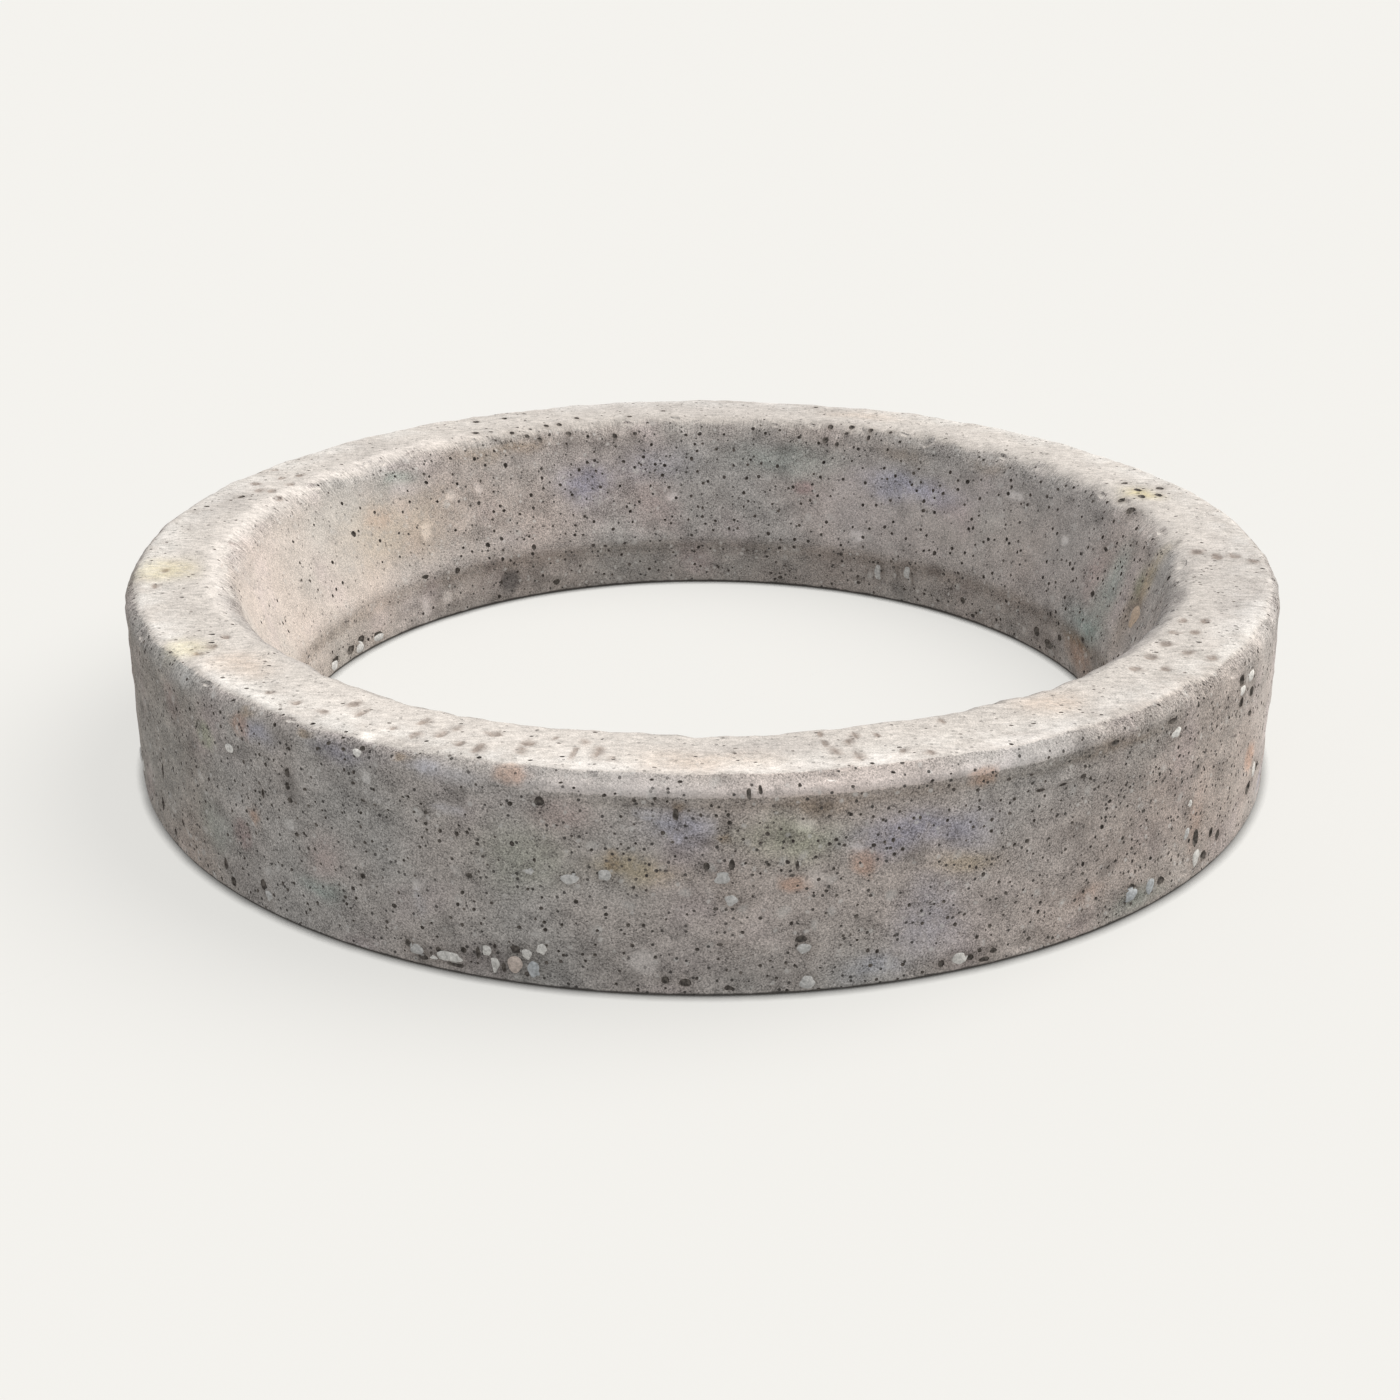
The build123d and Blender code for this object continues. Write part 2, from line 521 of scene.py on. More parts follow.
def weigh_casting(casting):
    """Weights that say where the relief may work: off the base, and on the arrises."""
    radius, _, height = polar(points_of(casting))
    add_weights(casting, "faces", ramp(height, 0.001, 0.014))
    on_rim = ramp(height, HEIGHT - 2 * RIM_ROUND, HEIGHT - RIM_ROUND / 2) * ramp(radius, 0.55, 0.58)
    on_mouth = ramp(height, HEIGHT - MOUTH_ROUND, HEIGHT - 0.012) * ramp(-radius, -0.545, -0.515)
    add_weights(casting, "arrises", np.maximum(0.35 * on_rim, on_mouth))


def rough_up(piece, name, group, lump, strength, detail=2, stretch=None):
    """Pushes the faces in and out by up to half of strength, in lumps of about one size."""
    clouds = bpy.data.textures.new(name, "CLOUDS")
    clouds.noise_scale = lump
    clouds.noise_depth = detail
    move = piece.modifiers.new(name, "DISPLACE")
    move.texture = clouds
    move.texture_coords = "LOCAL"
    move.strength = strength
    move.mid_level = 0.5
    move.vertex_group = group
    if stretch:
        deselect_all()
        bpy.ops.object.empty_add()
        ruler = bpy.context.active_object
        ruler.scale = stretch
        move.texture_coords = "OBJECT"
        move.texture_coords_object = ruler
        bpy.context.view_layer.update()
    take_up(piece)
    bpy.ops.object.modifier_apply(modifier=name)
    if stretch:
        bpy.data.objects.remove(ruler)


def push(piece, name, depths):
    """Pushes each point outwards by a depth of its own, or inwards where that is below 0."""
    for side in (1, -1):
        shares = np.clip(side * depths, 0, None)
        most = shares.max()
        if most == 0:
            continue
        group = f"{name}_{side}"
        add_weights(piece, group, shares / most)
        move = piece.modifiers.new(group, "DISPLACE")
        move.strength = side * most
        move.mid_level = 0
        move.vertex_group = group
        take_up(piece)
        bpy.ops.object.modifier_apply(modifier=group)


def give_relief(casting):
    """The casting's unevenness, from broad waves of the mould down to crumbled arrises."""
    weigh_casting(casting)
    points = points_of(casting)
    ridges = RIDGE_RISE * ridge_rise(casting, points)
    push(casting, "wear", worn_arris(points))
    push(casting, "ridges", ridges)
    rough_up(casting, "mould_waves", "faces", 0.20, 0.0044)
    rough_up(casting, "pour_courses", "faces", 1.0, 0.0032, 3, stretch=(0.07, 0.07, 0.02))
    rough_up(casting, "lumps", "faces", 0.028, 0.0026)
    rough_up(casting, "crumbled_arris", "arrises", 0.021, 0.0060, 3)


class Crowd:
    """Keeps hollows apart: admits a new one only where it has room, and remembers it."""

    def __init__(self):
        self.spots = np.empty((MOST_MARKS, 3))
        self.shapes = np.empty((MOST_MARKS, 3, 3))
        self.count = 0

    def admits(self, spot, axes, sizes):
        """Whether an ellipsoid has room between the others, judged along the lines to their middles."""
        shape = np.array(axes) * np.array(sizes)
        apart = self.spots[: self.count] - np.array(spot)
        distance = np.linalg.norm(apart, axis=1)
        near = distance < NEIGHBOURHOOD
        towards = apart[near] / np.maximum(distance[near], 1e-9)[:, None]
        own_reach = np.linalg.norm(towards @ shape, axis=1)
        their_shapes = self.shapes[: self.count][near]
        their_reach = np.linalg.norm(np.einsum("ni,nij->nj", towards, their_shapes), axis=1)
        if (distance[near] < own_reach + their_reach + PORE_GAP).any():
            return False
        self.spots[self.count] = spot
        self.shapes[self.count] = shape
        self.count += 1
        return True


def plain_ball(detail):
    """Points and faces of a ball of radius 1, from which copies are made. At detail 0 it is a cup."""
    deselect_all()
    if detail == 0:
        bpy.ops.mesh.primitive_cone_add(vertices=7, radius1=1, depth=1, end_fill_type="TRIFAN")
        bpy.ops.transform.rotate(value=math.pi, orient_axis="X", center_override=(0, 0, 0))
        bpy.ops.transform.translate(value=(0, 0, -0.5))
        bpy.ops.object.transform_apply(location=True, rotation=True)
    else:
        bpy.ops.mesh.primitive_ico_sphere_add(subdivisions=detail, radius=1)
    ball = bpy.context.active_object
    points = points_of(ball)
    faces = np.array([face.vertices[:] for face in ball.data.polygons])
    bpy.data.objects.remove(ball)
    return points, faces


def lumpy_balls(detail):
    """Uneven balls of one fineness, each lumpy in its own way, none reaching out further than 1."""
    points, faces = plain_ball(detail)
    balls = []
    for kind in range(BALL_KINDS):
        swell = [noise.noise(Vector(point) * 1.3 + Vector((7.3 * kind, 0, 0))) for point in points]
        lumpy = points * (1 + 0.30 * np.array(swell))[:, None]
        balls.append((lumpy / np.linalg.norm(lumpy, axis=1).max(), faces))
    return balls


class Heap:
    """Copies of a ball, each stretched, turned and set in its place, gathered as one mesh."""

    def __init__(self):
        self.points = []
        self.faces = []
        self.count = 0

    def add(self, ball, place, axes, sizes):
        """One more copy, with its sizes along three axes given as the columns of a matrix."""
        points, faces = ball
        self.points.append((points * sizes) @ np.array(axes).T + np.array(place))
        self.faces.append(faces + self.count)
        self.count += len(points)

    def piece(self, name):
        """The heap as one object."""
        mesh = bpy.data.meshes.new(name)
        faces = [face for batch in self.faces for face in batch.tolist()]
        mesh.from_pydata(np.concatenate(self.points), [], faces)
        made = bpy.data.objects.new(name, mesh)
        bpy.context.scene.collection.objects.link(made)
        return made


def seat(casting, near):
    """The casting's nearest point, and axes there: along the ring, across the face, outwards."""
    _, spot, normal, _ = casting.closest_point_on_mesh(near)
    along = Vector((-spot.y, spot.x, 0)).normalized()
    across = normal.cross(along).normalized()
    along = across.cross(normal)
    return spot, Matrix((along, across, normal)).transposed()


def turned(axes, turn):
    """The same axes, turned about the one that points outwards."""
    return axes @ Matrix.Rotation(turn, 3, "Z")


class Hollows:
    """What is hollowed out of the casting, the stones that show in it, and the dirt about both."""

    def __init__(self, casting):
        self.casting = casting
        self.draw = np.random.default_rng(SEED)
        self.pore_crowd = Crowd()
        self.dish_crowd = Crowd()
        self.stone_crowd = Crowd()
        self.pores = Heap()
        self.dishes = Heap()
        self.stones = Heap()
        self.stone_colours = []
        self.smudges = []
        self.dabs = []
        self.cups = lumpy_balls(0)
        self.small_balls = lumpy_balls(1)
        self.fine_balls = lumpy_balls(2)
        self.pebble_balls = lumpy_balls(3)

    def dirt(self, tint, near, half_length, half_height, reach, strength):
        """Dirt with a soft edge about a mark; in the grooves it is dirt and painted shade."""
        sizes = (reach * half_length, reach * half_height)
        self.smudges.append(smudge(self.casting, tint, near, *sizes, strength))

    def dab(self, tint, near, half_length, half_height, reach, strength):
        """Colour with a crisp edge on a mark."""
        sizes = (reach * half_length, reach * half_height)
        self.dabs.append(smudge(self.casting, tint, near, *sizes, strength))

    def pore(self, near, half_length, half_height, depth, turn=0.0):
        """One blow hole, if there is room for it. A cup's brim stands off the face, to cut cleanly."""
        spot, axes = seat(self.casting, near)
        axes = turned(axes, turn)
        sizes = np.array((half_length, half_height, depth))
        reach = max(half_length, half_height)
        lift = 0.0
        balls = self.pebble_balls
        if reach < CUP_PORE:
            sizes = sizes * CUP_WIDER
            lift = CUP_LIFT * depth
            balls = self.cups
        elif reach < FINE_PORE:
            balls = self.small_balls
        elif reach < BROAD_PORE:
            balls = self.fine_balls
        if not self.pore_crowd.admits(spot, axes, sizes):
            return False
        self.pores.add(balls[self.draw.integers(BALL_KINDS)], spot + axes.col[2] * lift, axes, sizes)
        return True

    def hollow(self, near, half_length, half_height, turn=0.0):
        """One wide hollow with dirt about it."""
        depth = min(DEEPEST_HOLLOW, HOLLOW_DEPTH * min(half_length, half_height))
        if self.pore(near, half_length, half_height, depth, turn):
            self.dirt(GRIME, near, half_length, half_height, *HOLLOW_DIRT)

    def dish(self, near, half_length, half_width, depth, turn=0.0):
        """One wide and shallow dent, if there is room for it."""
        spot, axes = seat(self.casting, near)
        axes = turned(axes, turn)
        sizes = (DISH_WIDER * half_length, DISH_WIDER * half_width, 2 * depth)
        if self.dish_crowd.admits(spot, axes, sizes):
            ball = self.fine_balls[self.draw.integers(BALL_KINDS)]
            self.dishes.add(ball, spot + axes.col[2] * depth, axes, sizes)

    def stone(self, colour, near, half_length, half_height, turn=0.0):
        """One stone that stands a little proud of the face."""
        spot, axes = seat(self.casting, near)
        axes = turned(axes, turn)
        depth = STONE_DEPTH * min(half_length, half_height)
        wider = STONE_WIDER / math.sqrt(1 - STONE_PROUD**2)
        sizes = (wider * half_length, wider * half_height, depth)
        if self.stone_crowd.admits(spot, axes, (half_length, half_height, depth)):
            ball = self.pebble_balls[self.draw.integers(BALL_KINDS)]
            self.stones.add(ball, spot - axes.col[2] * (STONE_PROUD * depth), axes, sizes)
            self.stone_colours.append(np.array(colour) * self.draw.uniform(0.92, 1.08))

    def set_marks(self):
        """What has a place of its own: hollows, dents, pits, grooves, flecks and stones."""
        for face, bearing, height, half_length, half_height in in_metres(HOLLOWS):
            self.hollow(face(bearing, height), half_length, half_height)
        for bearing, radius, half_length, half_width in in_metres(DENTS):
            near = top(bearing, radius)
            self.dish(near, half_length, half_width, DENT_DEPTH * min(half_length, half_width))
            self.dab(DUST, near, half_length, half_width, *DENT_DUST)
        for bearing, radius, half_length, half_width in in_metres(PITS):
            near = top(bearing, radius)
            self.pore(near, PIT_SIZE * half_length, PIT_SIZE * half_width, PIT_DEPTH * half_width)
            self.dirt(GRIME, near, half_length, half_width, *PIT_DIRT)
        for face, bearing, height, half_length, half_height in in_metres(GROOVES):
            near = face(bearing, height)
            self.dish(near, half_length, half_height, GROOVE_DEPTH * min(half_length, half_height))
            # Darkening in the grooves: dirt and painted shade
            self.dirt(GRIME, near, half_length, half_height, *GROOVE_DIRT_AND_SHADE)
        for tint, face, bearing, height, half_length, half_height in in_metres(FLECKS):
            near = face(bearing, height)
            self.dish(near, SCAR_SIZE * half_length, SCAR_SIZE * half_height, SCAR_DEPTH)
            self.dab(tint, near, half_length, half_height, *FLECK_COLOUR)
        for colour, face, bearing, height, half_length, half_height in in_metres(STONES):
            near = face(bearing, height)
            self.stone(colour, near, half_length, half_height)
            self.dirt(GRIME, near, half_length, half_height, *STONE_DIRT)

    def scatter_honeycomb(self):
        """Stones and empty sockets, patch by patch."""
        for face, bearing, height, along, up, stones, hollows in HONEYCOMB:
            self.dirt(SOOT_AND_SHADE, face(bearing, height), 1.1 * along, 1.3 * up, reach=1.0, strength=0.5)
            reach = math.degrees(along / OUTER_RADIUS)
            for index in range(stones + hollows):
                long = self.draw.uniform(*PATCH_STONES)
                high = long * self.draw.uniform(*PATCH_FLATNESS)
                level = max(height + self.draw.uniform(-up, up), long + PATCH_FLOOR)
                near = face(bearing + self.draw.uniform(-reach, reach), level)
                turn = self.draw.uniform(-PATCH_TURN, PATCH_TURN)
                if self.draw.random() < PATCH_ON_END:
                    turn += math.pi / 2
                if index < stones:
                    colour = STONE_COLOURS[self.draw.integers(len(STONE_COLOURS))]
                    self.stone(colour, near, long, high, turn)
                else:
                    self.hollow(near, SOCKET_SIZE * long, SOCKET_SIZE * high, turn)

    def scatter_chips(self):
        """Chips knocked out of both edges of the top, and out of the outer foot."""
        edges = [
            (OUTER_RADIUS - 0.3 * RIM_ROUND, HEIGHT - 0.3 * RIM_ROUND, 40),
            (MOUTH_RADIUS + 0.006, HEIGHT - 0.004, 60),
            (OUTER_RADIUS, 0.010, 30),
        ]
        for radius, height, count in edges:
            for _ in range(count):
                bearing = self.draw.uniform(-180, 180)
                near = round_the_ring(bearing, radius, height + self.draw.normal(0, CHIP_SHIFT))
                half_width = self.draw.uniform(*CHIP_WIDTHS)
                half_length = half_width * self.draw.uniform(*CHIP_STRETCH)
                depth = self.draw.uniform(*CHIP_DEPTHS)
                turn = self.draw.normal(0, CHIP_TURN)
                self.dish(near, half_length, half_width, depth, turn)

    def scatter_pores(self):
        """Blow holes over all the faces that show. In the top they are long and lie the same way."""
        count = len(self.casting.data.polygons)
        centres = np.empty(count * 3)
        areas = np.empty(count)
        self.casting.data.polygons.foreach_get("center", centres)
        self.casting.data.polygons.foreach_get("area", areas)
        centres = centres.reshape(-1, 3)
        radius, bearing, height = polar(centres)
        crowded = 1 + RIGHT_CROWD * within(bearing, *RIGHT_STRETCH)
        thinned = INSIDE_SHARE * (1 - LEFT_THINNING * within(bearing, *LEFT_STRETCH))
        share = np.where(radius > OUTER_RADIUS - RIM_ROUND, crowded, thinned)
        on_top = height > HEIGHT - TOP_LAYER
        share = np.where(on_top, TOP_SHARE, share)
        chances = areas * share * (height > FOOT_MARGIN)
        picked = self.draw.choice(count, size=2 * PORE_COUNT, p=chances / chances.sum(), replace=False)
        made = 0
        for index in picked:
            if made == PORE_COUNT:
                break
            near = Vector(centres[index] + self.draw.uniform(-CELL / 2, CELL / 2, 3))
            size = SMALL_PORE + (LARGE_PORE - SMALL_PORE) * self.draw.random() ** SMALL_BIAS
            if self.draw.random() < RARE_SHARE:
                size = self.draw.uniform(LARGE_PORE, RARE_PORE)
            if near.xy.length < MOUTH_RADIUS:
                size *= INSIDE_PORES
            turn = self.draw.uniform(0, math.pi)
            stretch = self.draw.uniform(*PORE_STRETCH)
            if on_top[index]:
                size *= TOP_PORES
                stretch *= TOP_STRETCH
                turn = -math.radians(bearing[index])
            depth = size * self.draw.uniform(*PORE_DEPTHS)
            made += self.pore(near, stretch * size, size, depth, turn)


def carve(casting, cutters, finish):
    """Hollows the casting out with a heap of cutters, whose finish the hollows keep."""
    cutters.data.materials.append(finish)
    cut = casting.modifiers.new("carve", "BOOLEAN")
    cut.operation = "DIFFERENCE"
    cut.solver = "MANIFOLD"
    cut.material_mode = "TRANSFER"
    cut.object = cutters
    take_up(casting)
    bpy.ops.object.modifier_apply(modifier="carve")
    bpy.data.objects.remove(cutters)


class Value:
    """A shader socket that takes part in Python sums: each operator adds a Math node."""

    def __init__(self, finish, socket):
        self.finish = finish
        self.socket = socket

    def __add__(self, other):
        return self.finish.sum("ADD", self, other)

    def __sub__(self, other):
        return self.finish.sum("SUBTRACT", self, other)

    def __rsub__(self, other):
        return self.finish.sum("SUBTRACT", other, self)

    def __mul__(self, other):
        return self.finish.sum("MULTIPLY", self, other)

    def __truediv__(self, other):
        return self.finish.sum("DIVIDE", self, other)

    def __rtruediv__(self, other):
        return self.finish.sum("DIVIDE", other, self)

    __radd__ = __add__
    __rmul__ = __mul__


class Finish:
    """A material in the making: one method adds any node, and the others are shorthands for it."""

    def __init__(self, name):
        self.material = bpy.data.materials.new(name)
        self.material.use_nodes = True
        self.tree = self.material.node_tree
        self.tree.nodes.clear()

    def node(self, kind, settings=None, sockets=None, output=0):
        """Adds a node, sets it up, feeds its sockets and gives one of its outputs."""
        made = self.tree.nodes.new("ShaderNode" + kind)
        for name, value in (settings or {}).items():
            setattr(made, name, value)
        for name, value in (sockets or {}).items():
            if isinstance(value, Value):
                self.tree.links.new(value.socket, made.inputs[name])
            else:
                made.inputs[name].default_value = value
        return Value(self, made.outputs[output]) if made.outputs else None

    def sum(self, operation, first, second=0.0):
        """One Math node."""
        return self.node("Math", {"operation": operation}, {0: first, 1: second})

    def ramp(self, value, low, high):
        """0 below low and 1 above high, or the other way round if low is greater, with soft ends."""
        sockets = {"Value": value, "From Min": low, "From Max": high}
        return self.node("MapRange", {"interpolation_type": "SMOOTHSTEP"}, sockets)

    def clouds(self, place, scale, detail=2.0, roughness=0.5):
        """Noise about a middle of 0."""
        sockets = {"Vector": place, "Scale": scale, "Detail": detail, "Roughness": roughness}
        return self.node("TexNoise", None, sockets) - 0.5

    def cells(self, place, scale):
        """Distance from the nearest of many scattered points, and a chance for each point."""
        sockets = {"Vector": place, "Scale": scale}
        distance = self.node("TexVoronoi", None, sockets, "Distance")
        colour = Value(self, distance.socket.node.outputs["Color"])
        chance = self.node("SeparateColor", None, {"Color": colour}, "Red")
        return distance, chance

    def mix(self, share, first, second, blend="MIX"):
        """Two colours, mixed by a share."""
        settings = {"data_type": "RGBA", "blend_type": blend}
        return self.node("Mix", settings, {0: share, 6: first, 7: second}, 2)

    def grey(self, value):
        """A value as a colour."""
        return self.node("CombineColor", None, {"Red": value, "Green": value, "Blue": value})

    def scaled(self, place, factors):
        """The same place, stretched along its axes."""
        return self.node("VectorMath", {"operation": "MULTIPLY"}, {0: place, 1: factors})

    def warped(self, place, scale, reach):
        """The same place, shifted unevenly by about as much as reach."""
        shift = self.node("TexNoise", None, {"Vector": place, "Scale": scale, "Detail": 2.0}, "Color")
        sockets = {0: shift, 1: (reach, reach, reach), 2: place}
        return self.node("VectorMath", {"operation": "MULTIPLY_ADD"}, sockets)

    def spots(self, place, scale, rim, core, share):
        """Scattered spots, soft from a core out to a rim, at a share of many scattered points."""
        distance, chance = self.cells(place, scale)
        return self.ramp(distance, rim, core) * self.ramp(chance, 1 - share, 1.04 - share)

    def surface(self, sockets):
        """Ends the material in one shader."""
        shader = self.node("BsdfPrincipled", None, sockets)
        self.node("OutputMaterial", None, {"Surface": shader})
        return self.material


def concrete():
    """Sandy grey concrete, lighter on top by bleaching and painted top light, with fine pores, pale
    flecks and mineral tints.
    """
    finish = Finish("weathered_concrete")
    place = finish.node("TexCoord", output="Object")
    facing = finish.node("NewGeometry", output="Normal")
    upward = finish.node("SeparateXYZ", None, {0: facing}, "Z")
    level = finish.node("SeparateXYZ", None, {0: place}, "Z")
    sideways = finish.sum("ABSOLUTE", finish.node("SeparateXYZ", None, {0: place}, "X"))
    flat = finish.scaled(place, (1, 1, 0))
    radius = finish.node("VectorMath", {"operation": "LENGTH"}, {0: flat}, "Value")
    around = finish.node("VectorMath", {"operation": "NORMALIZE"}, {0: flat})
    brushing = {0: around, 1: (230, 230, 0), 2: finish.scaled(place, (40, 40, 40))}
    brushed = finish.node("VectorMath", {"operation": "MULTIPLY_ADD"}, brushing)

    on_rim = finish.ramp(radius, 0.570, 0.585)
    freckles = finish.clouds(place, 130.0, 2.0)
    streaks = finish.clouds(brushed, 1.0, 2.0)
    crisp = finish.ramp(upward + freckles * 0.08 + streaks * 0.16, 0.82, 0.89)
    # Up-facing faces made lighter: painted top light, partly bleaching; on the rim it has a crisp edge
    top_light_and_bleach = finish.ramp(upward, 0.66, 0.95) * (1 - on_rim) + crisp * on_rim
    rim_round = finish.ramp(upward, 0.08, 0.30) * on_rim * finish.ramp(sideways, 0.25, 0.50)
    mouth_round = finish.ramp(upward, 0.45, 0.60) * (1 - on_rim)
    rounding = (rim_round + mouth_round) * 1.2 * finish.ramp(upward, 0.98, 0.85)

    mottle = finish.clouds(place, 7.0, 3.0)
    courses = finish.clouds(finish.scaled(place, (1, 1, 2.3)), 22.0, 4.0, 0.6)
    blotches = finish.clouds(place, 60.0, 2.0)
    smears = finish.clouds(finish.scaled(place, (1, 1, 1.4)), 34.0, 2.0)
    dashes = finish.clouds(finish.scaled(place, (0.5, 1, 1)), 210.0, 2.0)
    grain = finish.clouds(place, 620.0, 2.0, 0.7)
    _, sand = finish.cells(place, 900.0)
    # The pale shoulder with a crisp lower edge: partly wear, partly painted light
    rubbed_and_lit = finish.node("Attribute", {"attribute_name": "rubbed_and_lit"}, None, "Fac")
    edge = level + freckles * 0.005 + courses * 0.004
    rubbed_and_lit = rubbed_and_lit * finish.ramp(edge, 0.1864, 0.1871) * finish.ramp(level, 0.2120, 0.1870)
    tint = finish.node("Attribute", {"attribute_name": "tint"}, None, "Color")
    bloom = finish.sum("MAXIMUM", finish.node("SeparateColor", None, {"Color": tint}, "Red"), 1.0)
    calm = 1 / (bloom * bloom)
    salt = (grain * 2.1 + (sand - 0.5) * 0.70) * (1 - top_light_and_bleach * 0.60) * (1 - rubbed_and_lit * 0.55) * calm
    patches = mottle * 0.35 + courses * 0.60 + smears * 0.70 + blotches * 0.50 + freckles * 0.25
    patches = patches * (1 - top_light_and_bleach * 0.6) * calm * calm
    tone = 1 + patches + salt + streaks * rounding + dashes * top_light_and_bleach * 0.80

    cool = (0.390, 0.381, 0.364, 1)
    warm = (0.480, 0.422, 0.387, 1)
    rosy = (0.468, 0.411, 0.402, 1)
    pale = (0.560, 0.522, 0.485, 1)
    # Pale colour of the lime flecks, and of the painted highlight along the rim
    chalk_and_highlight = (0.690, 0.670, 0.640, 1)
    # Near black, for the dark specks and for the painted contact shadow at the foot
    soot_and_shadow = (0.060, 0.055, 0.050, 1)
    body = finish.mix(finish.ramp(finish.clouds(place, 5.0, 2.0), -0.26, 0.26), cool, warm)
    body = finish.mix(finish.ramp(finish.clouds(place, 11.0, 2.0), 0.02, 0.36), body, rosy)
    # Up-facing faces mixed towards pale: painted top light, partly bleaching
    body = finish.mix(top_light_and_bleach, body, pale)
    # A painted highlight: the top whitened along its outer rim
    rim = finish.ramp(radius, 0.535, 0.585) * finish.ramp(upward, 0.86, 0.98)
    rim = rim * finish.ramp(courses, -0.12, 0.12)
    body = finish.mix(rim * 0.6, body, chalk_and_highlight)
    tinted = finish.mix(1.0, body, tint, "MULTIPLY")
    body = finish.mix(0.95 + freckles * 1.5 + grain * 0.6, body, tinted)
    # Lightens the shoulder: partly wear, partly painted light
    body = finish.mix(rubbed_and_lit, body, finish.mix(1.0, body, (1.55, 1.55, 1.58, 1), "MULTIPLY"))
    body = finish.mix(1.0, body, finish.grey(tone), "MULTIPLY")

    wander = finish.warped(place, 150.0, 0.004)
    drift = finish.warped(place, 60.0, 0.012)
    lime = finish.spots(drift, 40.0, 0.27, 0.06, 0.50) * 0.42
    flecks = finish.spots(wander, 110.0, 0.30, 0.12, 0.34) * 0.55
    smoke = finish.spots(drift, 26.0, 0.44, 0.10, 0.55) * 0.26
    body = finish.mix((lime + flecks) * (1 - top_light_and_bleach * 0.6) * calm, body, chalk_and_highlight)
    body = finish.mix(smoke * (1 - top_light_and_bleach) * calm * calm, body, soot_and_shadow)
    pepper = finish.spots(place, 150.0, 0.26, 0.18, 0.34)
    pepper = pepper + finish.spots(place, 290.0, 0.28, 0.16, 0.16) * 0.6
    body = finish.mix(pepper * (0.90 - top_light_and_bleach * 0.45) * calm, body, soot_and_shadow)
    # A painted contact shadow: the lowest few millimetres of the walls darkened
    foot = finish.ramp(level + blotches * 0.003, 0.0048, 0.0026)
    body = finish.mix(foot * 0.9, body, soot_and_shadow)

    height = grain * 0.6 + sand * 0.2 - pepper * 0.8
    normal = finish.node("Bump", None, {"Strength": 0.5, "Distance": 0.0014, "Height": height})
    matt = {"Roughness": 0.92, "Specular IOR Level": 0.25}
    return finish.surface({"Base Color": body, "Normal": normal, **matt})


def hollow_dirt():
    """Dark dirt in the blow holes."""
    finish = Finish("pore_dirt")
    place = finish.node("TexCoord", output="Object")
    share = finish.ramp(finish.clouds(place, 300.0), -0.15, 0.20)
    colour = finish.mix(share, (0.095, 0.084, 0.075, 1), (0.240, 0.214, 0.190, 1))
    return finish.surface({"Base Color": colour, "Roughness": 0.95, "Specular IOR Level": 0.1})


def river_stone():
    """Pale stones, each with a colour of its own, finely speckled."""
    finish = Finish("bedded_stone")
    place = finish.node("TexCoord", output="Object")
    speckle = finish.clouds(place, 330.0, 2.0, 0.7)
    stone = finish.node("Attribute", {"attribute_name": "stone"}, None, "Color")
    colour = finish.mix(1.0, stone, finish.grey(0.98 + speckle * 1.5), "MULTIPLY")
    normal = finish.node("Bump", None, {"Strength": 0.3, "Distance": 0.0006, "Height": speckle})
    smooth = {"Roughness": 0.75, "Specular IOR Level": 0.3}
    return finish.surface({"Base Color": colour, "Normal": normal, **smooth})


# Tints, as what they multiply the concrete's colour by: mineral tints, dirt, painted light and painted
# shade
FROST = (1.22, 1.26, 1.34)
SLATE = (0.92, 0.98, 1.12)
LAVENDER = (0.82, 0.88, 1.08)
LICHEN = (0.88, 0.98, 0.84)
TEAL = (0.80, 0.96, 0.94)
OCHRE = (1.07, 0.98, 0.76)
UMBER = (0.82, 0.74, 0.64)
RUST = (1.06, 0.87, 0.77)
MAROON = (0.84, 0.73, 0.74)
ROSE = (1.07, 0.97, 0.97)
CLAY = (1.08, 0.99, 0.87)
STRAW = (1.03, 0.99, 0.78)
PEACH = (1.06, 0.97, 0.90)
# Dark tint: soot and dirt, and painted shade beside the ridges and about the swirl
SOOT_AND_SHADE = (0.74, 0.73, 0.73)
GRIME = (0.62, 0.60, 0.58)
DUST = (0.48, 0.42, 0.39)
COAL = (0.45, 0.46, 0.47)
CHALK = (1.55, 1.58, 1.60)
# Painted shade, on faces and on patches of the top
SHADE = (0.86, 0.86, 0.87)
# Painted shade on the mouth's round at the front
ROLL_SHADE = (0.75, 0.75, 0.76)
# Painted shade on the upright band and just under the knee, partly damp
BAND_SHADE = (0.85, 0.83, 0.81)
# A neutral lightening: painted light on lit faces, edges and the lip, and paler patches on the top
PALE_AND_PAINTED_LIGHT = (1.12, 1.12, 1.12)
# Warm painted light on the inner face at the left, and on a patch inside at the back right
WARM_PAINTED_LIGHT = (1.20, 1.18, 1.15)
# A painted highlight on the crest of the mouth's round at the left
CREST_HIGHLIGHT = (1.18, 1.18, 1.19)
# A painted shadow under the lip
LIP_SHADOW = (0.82, 0.80, 0.77)
# Warm painted shade on the outer wall at the left
WARM_SHADE = (0.93, 0.89, 0.85)
# Faint painted light on the inner face at the back and right
FAINT_FILL_LIGHT = (1.03, 1.02, 1.03)
BISQUE = (1.03, 0.97, 0.93)
# Painted shade on the mouth's round at the back
BACK_ROLL_SHADE = (0.93, 0.92, 0.91)

